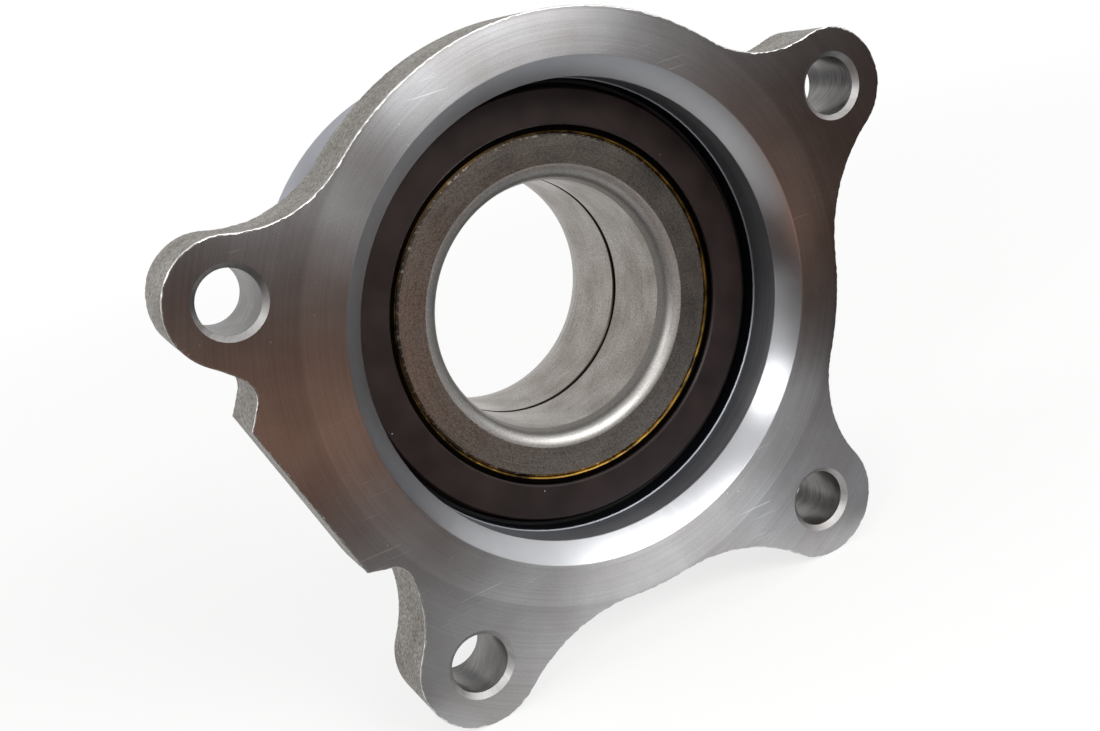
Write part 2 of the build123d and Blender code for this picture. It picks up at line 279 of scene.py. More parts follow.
# Forged skin, shot blasted: matt grey-brown and grainy with paler patches, and a bright ragged burr where the
# face was cut
def forgedSteel(name, look):
    material, tree, shader = newMaterial(name)
    place = addNode(tree, "ShaderNodeTexCoord").outputs["Object"]
    grain, patches, ragged = (
        addNode(
            tree, "ShaderNodeTexNoise", {"Vector": place, "Scale": 1 / (look[size] * mm), "Detail": detail}
        ).outputs["Fac"]
        for size, detail in (("grain", 5.0), ("patch", 3.0), ("ragged", 3.0))
    )
    skin = addNode(tree, "ShaderNodeMix", {
        "Factor": 1.0, 6: ramp(tree, grain, look["dark"], look["light"], *look["grainBand"]),
        7: ramp(tree, patches, look["patchDark"], "#ffffff"),
    }, data_type="RGBA", blend_type="MULTIPLY").outputs[2]
    depth = addNode(tree, "ShaderNodeSeparateXYZ", {0: place}).outputs["Y"]
    wander = addNode(tree, "ShaderNodeMath", {0: ragged, 1: look["burrWander"] * mm}, operation="MULTIPLY")
    edge = addNode(tree, "ShaderNodeMath", {0: depth, 1: wander.outputs[0]}, operation="ADD").outputs[0]
    burrEnd, fade = faceY + (look["burr"] + look["burrWander"] / 2) * mm, look["burrFade"] * mm
    burr = addNode(
        tree, "ShaderNodeMapRange", {0: edge, 1: burrEnd - fade, 2: burrEnd + fade, 3: 1.0, 4: 0.0}
    ).outputs[0]
    colour = addNode(
        tree, "ShaderNodeMix", {"Factor": burr, 6: skin, 7: linear(look["burrColour"])}, data_type="RGBA"
    ).outputs[2]
    duller, glossier = look["rough"] + look["swing"], look["rough"] - look["swing"]
    skinRough = addNode(
        tree, "ShaderNodeMapRange", {0: grain, 1: noiseLow, 2: noiseHigh, 3: duller, 4: glossier}
    ).outputs[0]
    rough = addNode(
        tree, "ShaderNodeMix", {"Factor": burr, 2: skinRough, 3: look["burrRough"]}, data_type="FLOAT"
    ).outputs[0]
    bump = addNode(tree, "ShaderNodeBump", {"Height": grain, "Distance": look["bump"] * mm, "Strength": 1.0})
    wire(tree, shader, {
        "Base Color": colour, "Metallic": look["metallic"], "Roughness": rough, "Normal": bump.outputs[0],
    })
    return material


# Ground bearing steel: satin grey with a fine grain and faint rings, cloudy with old oil, paler at the
# honed entry of the bore, black dirt in the joint of the two rings, and bright flecks worn on the outer edge
def groundBearingSteel(name, look):
    material, tree, shader = newMaterial(name)
    place, radius, heading = polarCoordinates(tree)
    depth = addNode(tree, "ShaderNodeSeparateXYZ", {0: place}).outputs["Y"]
    fromJoint = addNode(tree, "ShaderNodeMath", {0: depth}, operation="ABSOLUTE").outputs[0]
    lines = turnedLines(tree, radius, place, heading, look["pitch"] * mm, look["runs"])
    grit, cloud, worn = (
        addNode(
            tree, "ShaderNodeTexNoise", {"Vector": place, "Scale": 1 / (look[size] * mm), "Detail": detail}
        ).outputs["Fac"]
        for size, detail in (("grit", 4.0), ("cloud", 5.0), ("fleck", 2.0))
    )
    grain = addNode(
        tree, "ShaderNodeMix", {"Factor": look["lineShare"], 2: grit, 3: lines}, data_type="FLOAT"
    ).outputs[0]
    oily = addNode(tree, "ShaderNodeMix", {
        "Factor": 1.0, 6: ramp(tree, grain, look["dark"], look["light"]),
        7: ramp(tree, cloud, look["oil"], "#ffffff", *look["oilBand"]),
    }, data_type="RGBA", blend_type="MULTIPLY").outputs[2]
    entryStart, entryEnd = look["entry"]
    fade, edgeStart = look["fade"], look["edgeStart"]
    dirt, onEdge, flecked, inside, within = (
        addNode(tree, "ShaderNodeMapRange", {0: value, 1: low, 2: high, 3: start, 4: end}).outputs[0]
        for value, low, high, start, end in (
            (fromJoint, (look["dirt"] - fade) * mm, look["dirt"] * mm, 1.0, 0.0),
            (radius, edgeStart * mm, (edgeStart + look["edgeWidth"]) * mm, 0.0, 1.0),
            (worn, *look["fleckBand"], 0.0, 1.0),
            (fromJoint, entryStart * mm, (entryStart + fade) * mm, 0.0, 1.0),
            (radius, (entryEnd - fade) * mm, entryEnd * mm, 1.0, 0.0),
        )
    )
    fleck = addNode(tree, "ShaderNodeMath", {0: onEdge, 1: flecked}, operation="MULTIPLY").outputs[0]
    entry = addNode(tree, "ShaderNodeMath", {0: inside, 1: within}, operation="MULTIPLY").outputs[0]
    gapStart, gapEnd = look["gap"]
    colour = oily
    for share, layer in (
        (dirt, ramp(tree, fromJoint, look["gapColour"], look["dirtColour"], gapStart * mm, gapEnd * mm)),
        (fleck, linear(look["fleckColour"])),
        (entry, ramp(tree, grain, look["entryDark"], look["entryLight"])),
    ):
        colour = addNode(
            tree, "ShaderNodeMix", {"Factor": share, 6: colour, 7: layer}, data_type="RGBA"
        ).outputs[2]
    duller, glossier = look["rough"] + look["swing"], look["rough"] - look["swing"]
    satin = addNode(
        tree, "ShaderNodeMapRange", {0: cloud, 1: noiseLow, 2: noiseHigh, 3: duller, 4: glossier}
    ).outputs[0]
    rough = addNode(
        tree, "ShaderNodeMix", {"Factor": entry, 2: satin, 3: look["entryRough"]}, data_type="FLOAT"
    ).outputs[0]
    bump = addNode(tree, "ShaderNodeBump", {"Height": grain, "Distance": look["bump"] * mm, "Strength": 1.0})
    wire(tree, shader, {
        "Base Color": dustOver(tree, place, colour, look), "Metallic": 1.0, "Roughness": rough,
        "Normal": bump.outputs[0],
    })
    return material


# Yellow passivated sheet: thin gold film, black on both sides of it from grease and from rubber where the
# rubber starts, and on the outer side also painted shade of the encoder's step
def passivatedSteel(name, look):
    material, tree, shader = newMaterial(name)
    place, radius = polarCoordinates(tree)[:2]
    cloud = addNode(
        tree, "ShaderNodeTexNoise", {"Vector": place, "Scale": 1 / (look["cloud"] * mm), "Detail": 5.0}
    ).outputs["Fac"]
    wander = addNode(tree, "ShaderNodeMath", {0: cloud, 1: look["greaseAndShadeWander"] * mm}, operation="MULTIPLY")
    reach = addNode(tree, "ShaderNodeMath", {0: radius, 1: wander.outputs[0]}, operation="ADD").outputs[0]
    greaseAndShadeStart, fade = (look["greaseAndShadeStart"] + look["greaseAndShadeWander"] / 2) * mm, look["fade"] * mm
    goldStart = look["goldStart"] * mm
    outer, inner, rough = (
        addNode(tree, "ShaderNodeMapRange", {0: value, 1: low, 2: high, 3: start, 4: end}).outputs[0]
        for value, low, high, start, end in (
            (reach, greaseAndShadeStart - fade, greaseAndShadeStart + fade, 0.0, 1.0),
            (reach, goldStart, goldStart + fade, 1.0, 0.0),
            (cloud, noiseLow, noiseHigh, *look["rough"]),
        )
    )
    # the black band: grease and rubber, and on the outer side also painted shade under the encoder's step
    greaseAndShade = addNode(tree, "ShaderNodeMath", {0: outer, 1: inner}, operation="MAXIMUM").outputs[0]
    colour = addNode(tree, "ShaderNodeMix", {
        "Factor": greaseAndShade, 6: ramp(tree, cloud, look["dark"], look["light"]), 7: linear(look["greaseAndShadeColour"]),
    }, data_type="RGBA").outputs[2]
    wire(tree, shader, {"Base Color": colour, "Metallic": 1.0, "Roughness": rough})
    return material


polymerSwing = 0.05


# Moulded rubber and plastic: matt, with a faint cloudy bloom
def mouldedPolymer(name, look):
    material, tree, shader = newMaterial(name)
    place = addNode(tree, "ShaderNodeTexCoord").outputs["Object"]
    cloud = addNode(
        tree, "ShaderNodeTexNoise", {"Vector": place, "Scale": 1 / (look["cloud"] * mm), "Detail": 5.0}
    ).outputs["Fac"]
    colour = ramp(tree, cloud, look["dark"], look["light"])
    if "dustCell" in look:
        colour = dustOver(tree, place, colour, look)
    rough = addNode(tree, "ShaderNodeMapRange", {
        0: cloud, 1: noiseLow, 2: noiseHigh, 3: look["rough"] - polymerSwing, 4: look["rough"] + polymerSwing,
    }).outputs[0]
    bump = addNode(tree, "ShaderNodeBump", {"Height": cloud, "Distance": look["bump"] * mm, "Strength": 1.0})
    wire(tree, shader, {
        "Base Color": colour, "Roughness": rough, "Specular IOR Level": look["specular"],
        "Normal": bump.outputs[0],
    })
    return material


# The finishes, with sizes in mm. Lathe rings and grinding marks are really about 0.1 mm apart, too fine to
# show, so they are drawn 0.2 to 0.6 mm apart.

# The flange's machined face: even grey, its rings just visible, with light fanned out from the axis
faceSteel = facedSteel("facedSteel", {
    "pitch": 0.3, "runs": 1.6, "grit": 0.35, "gritShare": 0.5, "stain": 22, "dark": "#b6b3b3",
    "light": "#cacbcd", "grainDark": "#e2e2e2", "passEnd": 68.3, "passFade": 0.4, "earTone": "#eae9e9",
    "scratchShare": 0.5, "scratchPatches": (0.5, 0.62), "scratchFade": 0.03, "scratchColour": "#f0f0f0",
    "scratches": ((25, 0.5, 22, 0.75), (-40, 0.5, 18, 0.76), (75, 0.4, 15, 0.77)),
    "dustCell": 3.4, "dustSize": 0.065, "dustPick": 0.6, "dustCluster": 16,
    "rough": 0.36, "anisotropy": 0.92, "bump": 0.0006,
})
# The mouth's chamfer, turned in one fine cut: clean and bright, mirroring soft bands
chamferSteel = turnedSteel("turnedChamferSteel", {
    "pitch": 0.25, "runs": 1.0, "stain": 40, "dark": "#b9babd", "light": "#c8c9cc", "lineDark": "#f2f2f2",
    "rough": 0.33, "anisotropy": 0.8, "bump": 0.0006,
})
# The socket's wall and the rear pilot, turned more coarsely: darker, bluish and duller
wallSteel = turnedSteel("turnedPocketSteel", {
    "pitch": 0.3, "runs": 1.0, "stain": 30, "dark": "#8b8d93", "light": "#a4a7ae", "lineDark": "#e6e6e6",
    "rough": 0.44, "anisotropy": 0.3, "bump": 0.002,
})
# The seal's seat: the same turned steel under old oil, its colour darkened to nearly black as painted shade
# of the deep recess
paintedShadeSeatSteel = turnedSteel("oiledSeatSteelWithPaintedShade", {
    "pitch": 0.3, "runs": 1.0, "stain": 30, "dark": "#15171a", "light": "#1f2125", "lineDark": "#d8d8d8",
    "rough": 0.55, "anisotropy": 0.3, "bump": 0.002,
})
# The bolt holes' walls: brownish, with streaks from the drill
drilledSteel = turnedSteel("drilledSteel", {
    "pitch": 0.5, "runs": 2.0, "stain": 12, "dark": "#747270", "light": "#969492", "lineDark": "#cccccc",
    "rough": 0.36, "anisotropy": 0.3, "bump": 0.01,
})
# The bolt holes' countersunk entries: a plain pale ring without a highlight
entrySteel = turnedSteel("countersunkSteel", {
    "pitch": 0.6, "runs": 1.0, "stain": 9, "dark": "#9d9a98", "light": "#b9b8b7", "lineDark": "#efefef",
    "rough": 0.5, "anisotropy": 0.0, "bump": 0.002,
})
# The flange's sides and back, forged and shot blasted: grainy grey-brown
forgedSkin = forgedSteel("shotBlastedForging", {
    "grain": 0.7, "grainBand": (0.32, 0.68), "dark": "#64605b", "light": "#a19e99", "rough": 0.5,
    "swing": 0.08, "metallic": 0.8, "bump": 0.09, "patch": 14, "patchDark": "#d4cfc8", "ragged": 1.6,
    "burr": 0.32,
    "burrWander": 0.5, "burrFade": 0.06, "burrColour": "#e6e4e0", "burrRough": 0.3,
})
# The burr that the tool rolled over the face's edge: bright torn metal, streaked across
burrSteel = turnedSteel("cutBurrSteel", {
    "pitch": 0.5, "runs": 60.0, "stain": 2, "dark": "#b9b6b2", "light": "#efedea", "lineDark": "#dddddd",
    "rough": 0.34, "anisotropy": 0.0, "bump": 0.01,
})
# The inner rings: ground all over, then handled and oiled
groundSteel = groundBearingSteel("groundRingSteel", {
    "grit": 0.35, "cloud": 9, "pitch": 0.3, "runs": 3.0, "lineShare": 0.3, "dark": "#746d67",
    "light": "#aca7a1", "oil": "#e2dfda", "oilBand": (0.3, 0.6), "fade": 0.1, "dirt": 1.05,
    "gap": (0.5, 0.95), "gapColour": "#090807", "dirtColour": "#6b5f56", "edgeStart": 40.35,
    "edgeWidth": 0.2, "fleck": 1.1, "fleckBand": (0.56, 0.62), "fleckColour": "#f0eeea",
    "rough": 0.34, "swing": 0.05,
    "entry": (22.0, 34.0), "entryDark": "#96938f", "entryLight": "#b9b7b4", "entryRough": 0.47,
    "bump": 0.003, "dustCell": 3.0, "dustSize": 0.05, "dustPick": 0.8, "dustCluster": 12,
})
# The clip, rolled spring strip: smooth and bluish
springSteel = turnedSteel("springSteel", {
    "pitch": 0.2, "runs": 3.0, "stain": 10, "dark": "#85888c", "light": "#a2a5a8", "lineDark": "#e8e8e8",
    "rough": 0.3, "anisotropy": 0.2, "bump": 0.001,
})
# The rollers, superfinished: almost a mirror
rollerSteel = turnedSteel("superfinishedRollerSteel", {
    "pitch": 0.2, "runs": 3.0, "stain": 8, "dark": "#b8b9ba", "light": "#cccdce", "lineDark": "#f4f4f4",
    "rough": 0.16, "anisotropy": 0.0, "bump": 0.0005,
})
# The slingers: a thin gold line where grease leaves them bare, and the black beyond it partly grease and
# rubber and partly painted shade under the encoder's step
passivatedSheet = passivatedSteel("yellowPassivatedSheet", {
    "cloud": 4, "dark": "#2c2113", "light": "#8a6a30", "goldStart": 41.2, "greaseAndShadeStart": 41.55,
    "greaseAndShadeWander": 0.4, "fade": 0.1, "greaseAndShadeColour": "#0e0c0b", "rough": (0.26, 0.46),
})
# The seal cases: sheet under a thin coat of black rubber
sealSheet = mouldedPolymer("rubberCoatedSheet", {
    "cloud": 6, "dark": "#141415", "light": "#1d1d1f", "rough": 0.5, "specular": 0.3, "bump": 0.01,
})
# The seal lips: soft black rubber, a little duller than the cases
sealRubber = mouldedPolymer("mouldedSealRubber", {
    "cloud": 3, "dark": "#101010", "light": "#191918", "rough": 0.55, "specular": 0.3, "bump": 0.01,
})
# The cages: dark grey plastic, mottled by its glass fibres
cagePlastic = mouldedPolymer("glassFilledPolyamide", {
    "cloud": 1.5, "dark": "#1d1d1e", "light": "#2c2c2e", "rough": 0.5, "specular": 0.4, "bump": 0.02,
})
# The encoder ring: smooth brown-black rubber full of magnet powder, with a satin sheen and dust
encoderRubber = mouldedPolymer("magneticEncoderRubber", {
    "cloud": 9, "dark": "#1d1514", "light": "#271c1b", "rough": 0.40, "specular": 0.28, "bump": 0.004,
    "dustCell": 4.0, "dustSize": 0.045, "dustPick": 0.82, "dustCluster": 20,
})

slotMaterials = {
    "forged_steel": forgedSkin,
    "ground_steel": groundSteel,
    "spring_steel": springSteel,
    "roller_steel": rollerSteel,
    "seal_sheet": sealSheet,
    "seal_rubber": sealRubber,
    "passivated_sheet": passivatedSheet,
    "cage_plastic": cagePlastic,
    "encoder_rubber": encoderRubber,
}
for part in frame["record"]["subparts"]:
    mesh = nodes[part["node"]].data
    mesh.materials.clear()
    mesh.materials.append(slotMaterials[part["material_slot"]])
print("materials set")


# Housing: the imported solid, with a finish for each way its faces were made. Its forged side is cut away
# and made again below, with grain. Lengths are in mm, and a tilt is how far a face looks along the axis.
housing = {
    "mouthDepth": 4.7,  # the chamfer's depth
    "edgeBreak": 0.16,  # rounding of the turned edges
    "softAngle": 25.0,  # degrees, up to which faces are shaded smooth
    "slack": 0.2,  # room at the edges of mouth and pilot
    "sideTilt": 0.12,  # the forged side tilts less than this
    "sideStart": 67.0,
    "rimStart": 65.0,
    "rimWidth": 0.9,  # how far the back's rim may lie from the outline
    "boltClear": 10,  # no rim corner is nearer than this to a bolt
    "holeReach": 9.0,  # from a bolt's axis
    "spotReach": 12.5,
    "spotDepth": 1,
    "spotSink": 0.5,
    "spotTilt": 0.9,
    "flatTilt": 0.99,
    "flatDepth": 0.1,
    "chamferTilt": 0.2,
    "chamferDepth": 5,
    "entryTilt": 0.65,
    "entrySpread": 0.3,
    "entryDepth": 1.4,
    "stepTilt": 0.707,
    "stepSpread": 0.1,
    "seatDrop": 0.1,
    "pilotStart": 6,
    "shoulderTilt": 0.95,
    "shoulderWidth": 3,
    "texture": 0.1,  # metres
}
# Forged side: the outline carried from the front face to the back of the flange, leaning in by the
# draft, with the grain and shallow scale pits that the forging die and the shot left. Round the face it
# ends in a burr, and the side that looks along flatAngle was milled smooth.
forgedSide = {
    "seed": 11,
    "step": 0.42,
    "draft": 2.0,
    "inset": 0.10,
    "leastInset": 0.01,
    "grainSize": 0.55,
    "grainHeight": 0.035,
    "pitSize": 1.6,
    "pitHeight": 0.05,
    "pitStart": 0.8,
    "pitMost": 2,
    "swellSize": 9.0,
    "swellHeight": 0.10,
    "edgeRun": 0.5,
    "backRounding": 0.9,
    "backOverlap": 0.3,
    "backWidth": 1.0,
    "backRise": 0.02,
    "flatAngle": 199.5,  # degrees from +X, where the milled flat looks
    "flatFacing": 0.996,
    "flatFade": 500,  # how sharply the milled part begins
    "flatGrain": 0.15,
    "flatRaise": 0.8,
    "burrWidth": 0.42,
    "burrDepth": 0.34,
    "burrSize": 1.1,
    "burrShares": (0.55, 0.22, 0.12),
    "burrLeast": 0.06,
    "burrRound": 0.9,
    "burrTurns": (90.0, 62.0, 32.0, 8.0),  # degrees, the rows round its corner
    "burrLean": 0.006,
    "burrSink": 0.012,
    "spareRows": 40,  # of the random fields
}
flangeBackY = mounts["ear_spot_face"]["pos_m"][1] + housing["spotSink"] * mm
sameCorner, sameDepth, sameSpot = 0.001 * mm, 0.005 * mm, 0.02 * mm


def readMesh(mesh):
    # Corners, triangle centres and triangle normals as arrays
    points = np.zeros(len(mesh.vertices) * 3)
    mesh.vertices.foreach_get("co", points)
    centres = np.zeros(len(mesh.polygons) * 3)
    mesh.polygons.foreach_get("center", centres)
    normals = np.zeros(len(mesh.polygons) * 3)
    mesh.polygons.foreach_get("normal", normals)
    return points.reshape(-1, 3), centres.reshape(-1, 3), normals.reshape(-1, 3)


def fromBolts(points):
    # Distance of each point from the nearest bolt hole's axis
    gaps = points[:, None, [0, 2]] - boltCentres[None]
    return np.linalg.norm(gaps, axis=2).min(axis=1)


def edgesOn(mesh, circles):
    # True for each edge whose ends both lie on one of the circles, given as radius and depth
    corners = readMesh(mesh)[0]
    profile = np.stack([np.hypot(corners[:, 0], corners[:, 2]), corners[:, 1]], axis=1)
    ends = np.zeros(len(mesh.edges) * 2, dtype=np.int32)
    mesh.edges.foreach_get("vertices", ends)
    gaps = np.linalg.norm(profile[:, None] - np.array(circles)[None], axis=2)
    return (gaps[ends.reshape(-1, 2)] < sameSpot).all(axis=1).any(axis=1)


def newPiece(name, mesh, body):
    piece = bpy.data.objects.new(name, mesh)
    scene.collection.objects.link(piece)
    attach(piece, body)
    return piece


def mergedCopy(node):
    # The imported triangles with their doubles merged, so that they can be shaded smooth
    mesh = nodes[node].data.copy()
    work = bmesh.new()
    work.from_mesh(mesh)
    bmesh.ops.remove_doubles(work, verts=work.verts, dist=sameCorner)
    work.to_mesh(mesh)
    work.free()
    if "custom_normal" in mesh.attributes:
        mesh.attributes.remove(mesh.attributes["custom_normal"])
    return mesh


def keepFaces(mesh, keep):
    # Drops the faces that the mask leaves out
    work = bmesh.new()
    work.from_mesh(mesh)
    work.faces.ensure_lookup_table()
    dropped = [work.faces[number] for number in np.flatnonzero(~keep)]
    bmesh.ops.delete(work, geom=dropped, context="FACES")
    work.to_mesh(mesh)
    work.free()


def breakEdges(mesh, circles, width):
    # Rounds each turned edge, given as the radius and depth of its circle
    numbers = np.flatnonzero(edgesOn(mesh, circles))
    work = bmesh.new()
    work.from_mesh(mesh)
    work.edges.ensure_lookup_table()
    chosen = [work.edges[number] for number in numbers]
    bmesh.ops.bevel(
        work, geom=chosen, offset=width * mm, offset_type="OFFSET", segments=2, profile=0.5, affect="EDGES"
    )
    work.to_mesh(mesh)
    work.free()
    print("edges rounded:", len(chosen))


housingMesh = mergedCopy("housing")
mouthRadius = pocketRadius + housing["mouthDepth"] * mm
breakEdges(
    housingMesh,
    [(mouthRadius, faceY), (pocketRadius, faceY + housing["mouthDepth"] * mm)],
    housing["edgeBreak"],
)
points, centres, normals = readMesh(housingMesh)
radii = np.hypot(centres[:, 0], centres[:, 2])
side = (
    (np.abs(normals[:, 1]) < housing["sideTilt"])
    & (radii > housing["sideStart"] * mm)
    & (fromBolts(centres) > housing["holeReach"] * mm)
    & (centres[:, 1] < flangeBackY)
)
keepFaces(housingMesh, ~side)
points, centres, normals = readMesh(housingMesh)


def rimCorners(depth):
    # Numbers of the outer corners at one depth, clear of the bolt holes, in order round the axis
    reach = np.hypot(points[:, 0], points[:, 2])
    numbers = np.flatnonzero(
        (np.abs(points[:, 1] - depth) < sameDepth)
        & (reach > housing["rimStart"] * mm)
        & (fromBolts(points) > housing["boltClear"] * mm)
    )
    return numbers[np.argsort(np.arctan2(points[numbers, 2], points[numbers, 0]))]


def evenly(corners, step):
    # A closed line through the corners, with points spaced evenly along its length
    closed = np.vstack([corners, corners[:1]])
    lengths = np.concatenate([[0], np.cumsum(np.linalg.norm(np.diff(closed, axis=0), axis=1))])
    stations = np.linspace(0, lengths[-1], int(lengths[-1] / step), endpoint=False)
    return np.stack([np.interp(stations, lengths, closed[:, axis]) for axis in (0, 1)], axis=1)


def pulledIn(corners, width):
    # Each corner moved inwards so that both of its sides move in by "width"
    ahead = np.roll(corners, -1, axis=0) - corners
    ahead /= np.linalg.norm(ahead, axis=1)[:, None]
    across = np.stack([ahead[:, 1], -ahead[:, 0]], axis=1)
    both = across + np.roll(across, 1, axis=0)
    return corners - both / np.maximum((both ** 2).sum(axis=1), 1e-9)[:, None] * 2 * width


# The face stops short of its outline, where the burr below begins, and so does the flange's back, whose edge
# the forged side rounds off
rim = rimCorners(faceY)
outline = evenly(points[rim][:, [0, 2]], forgedSide["step"] * mm)
points[rim[:, None], [0, 2]] = pulledIn(points[rim][:, [0, 2]], forgedSide["burrWidth"] * mm)
backRim = rimCorners(flangeBackY)
fromOutline = np.linalg.norm(points[backRim][:, None, [0, 2]] - outline[None], axis=2).min(axis=1)
backRim = backRim[fromOutline < housing["rimWidth"] * mm]
backPull = (forgedSide["backRounding"] + forgedSide["backOverlap"]) * mm
points[backRim[:, None], [0, 2]] = pulledIn(points[backRim][:, [0, 2]], backPull)
print("rim corners:", len(rim), "front,", len(backRim), "back")
housingMesh.vertices.foreach_set("co", points.reshape(-1))
housingMesh.update()

depths, forward = centres[:, 1], -normals[:, 1]
radii = np.hypot(centres[:, 0], centres[:, 2])
nearBolt = fromBolts(centres)
inSpot = (
    (nearBolt < housing["spotReach"] * mm)
    & (depths > flangeBackY - housing["spotDepth"] * mm)
    & (forward < -housing["spotTilt"])
)
inHole = (nearBolt < housing["holeReach"] * mm) & ~inSpot
onFace = (forward > housing["flatTilt"]) & (depths < faceY + housing["flatDepth"] * mm)
insideMouth = radii < mouthRadius + housing["slack"] * mm
onChamfer = (forward > housing["chamferTilt"]) & (depths < faceY + housing["chamferDepth"] * mm)
onEntry = (
    (np.abs(forward - housing["entryTilt"]) < housing["entrySpread"])
    & (depths < faceY + housing["entryDepth"] * mm)
)
onStep = insideMouth & (np.abs(forward - housing["stepTilt"]) < housing["stepSpread"])
onSeat = (radii < pocketRadius - housing["seatDrop"] * mm) & (depths < 0)
atPilot = (radii < pilotRadius + housing["slack"] * mm) | (
    (forward < -housing["shoulderTilt"]) & (radii < pilotRadius + housing["shoulderWidth"] * mm)
)
onPilot = (depths > flangeBackY + housing["pilotStart"] * mm) & atPilot
sortedFaces = (  # the first that holds counts, and what is left over is forged skin
    (onEntry & inHole & ~onFace, entrySteel),
    (inHole & ~onFace, drilledSteel),
    (onFace, faceSteel),
    (onChamfer & insideMouth, chamferSteel),
    (onStep & (radii < pocketRadius), wallSteel),
    # the seal's seat, deep in the socket, takes a near-black colour that is painted shade
    (onSeat, paintedShadeSeatSteel),
    (insideMouth & (depths < 0), wallSteel),
    (onPilot | inSpot, wallSteel),
)
finishes = [forgedSkin, faceSteel, chamferSteel, wallSteel, drilledSteel, paintedShadeSeatSteel, entrySteel]
finishNumbers = np.select(
    [where for where, finish in sortedFaces],
    [finishes.index(finish) for where, finish in sortedFaces],
    default=0,
)
housingMesh.materials.clear()
for finish in finishes:
    housingMesh.materials.append(finish)
housingMesh.polygons.foreach_set("material_index", finishNumbers.astype(np.int32))
housingMesh.shade_smooth()
housingMesh.set_sharp_from_angle(angle=math.radians(housing["softAngle"]))
housingMesh.use_auto_texspace = False  # the light fans turn about the middle of this box, which is the axis
housingMesh.texspace_location = (0, 0, 0)
housingMesh.texspace_size = (housing["texture"],) * 3
housingPiece = newPiece("housingMachined", housingMesh, "housing")
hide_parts("housing")
print("housing faces sorted by finish")


# Front inner ring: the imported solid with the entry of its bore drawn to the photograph's curve, a short
# cone that meets the bore at a plain edge, then a round up to the face
ringEntry = {"depth": 4.8, "coneAngle": 15.0, "reach": 8, "width": 4.1, "softAngle": 32.0}


def entryDepth(radius, edgeRadius, look):
    # Depth below the face at each radius: the cone's line, or the circle that touches both it and the face
    angle = math.radians(look["coneAngle"])
    cone = look["depth"] * mm - (radius - boreRadius) / math.tan(angle)
    cornerRadius = boreRadius + look["depth"] * mm * math.tan(angle)
    roundRadius = (edgeRadius - cornerRadius) / math.tan((math.pi / 2 - angle) / 2)
    touching = edgeRadius - roundRadius * math.cos(angle)
    circle = roundRadius - np.sqrt(np.maximum(roundRadius ** 2 - (edgeRadius - radius) ** 2, 0))
    return np.where(radius < touching, cone, circle)


ringMesh = mergedCopy("front_inner_ring")
corners = readMesh(ringMesh)[0]
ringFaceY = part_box("front_inner_ring")[0].y
radius = np.hypot(corners[:, 0], corners[:, 2])
cadDepth = corners[:, 1] - ringFaceY
inEntry = (cadDepth < ringEntry["reach"] * mm) & (radius < boreRadius + ringEntry["width"] * mm)
edgeRadius = radius[inEntry & (cadDepth < sameCorner)].min()
inEntry &= radius < edgeRadius
corners[inEntry, 1] = ringFaceY + entryDepth(radius[inEntry], edgeRadius, ringEntry)
ringMesh.vertices.foreach_set("co", corners.reshape(-1))
ringMesh.update()
ringMesh.shade_smooth()
ringMesh.set_sharp_from_angle(angle=math.radians(ringEntry["softAngle"]))
sharp = np.zeros(len(ringMesh.edges), dtype=bool)
ringMesh.edges.foreach_get("use_edge_sharp", sharp)
sharp |= edgesOn(ringMesh, [(boreRadius, ringFaceY + ringEntry["depth"] * mm)])
ringMesh.edges.foreach_set("use_edge_sharp", sharp)
ringPiece = newPiece("frontRingEntry", ringMesh, "inner_rings")
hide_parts("front_inner_ring")
print("front ring's entry drawn, corners moved:", int(inEntry.sum()))


def gridMesh(name, grid, closed=False):
    # Quads between neighbouring points of a grid (u, v, 3); where it is closed, u joins its end to its start
    countU, countV = grid.shape[:2]
    number = np.arange(countU * countV).reshape(countU, countV)
    if closed:
        number = np.vstack([number, number[:1]])
    quads = np.stack(
        [number[:-1, :-1], number[1:, :-1], number[1:, 1:], number[:-1, 1:]], axis=2
    ).reshape(-1, 4)
    mesh = bpy.data.meshes.new(name)
    mesh.vertices.add(countU * countV)
    mesh.vertices.foreach_set("co", grid.reshape(-1).astype(np.float32))
    mesh.loops.add(quads.size)
    mesh.loops.foreach_set("vertex_index", quads.reshape(-1).astype(np.int32))
    mesh.polygons.add(len(quads))
    mesh.polygons.foreach_set("loop_start", np.arange(0, quads.size, 4, dtype=np.int32))
    mesh.update(calc_edges=True)
    mesh.shade_smooth()
    return mesh


def grainField(rng, shape, step, size):
    # Random heights whose bumps are about "size" across: white noise blurred by a bell curve in
    # frequency, so that the field closes on itself, scaled to a spread of one
    noise = rng.standard_normal(shape)
    rows = np.fft.fftfreq(shape[0], step)[:, None]
    columns = np.fft.fftfreq(shape[1], step)[None]
    bell = np.exp(-(rows ** 2 + columns ** 2) * (size ** 2) * 2)
    field = np.fft.ifft2(np.fft.fft2(noise) * bell).real
    return field / field.std()


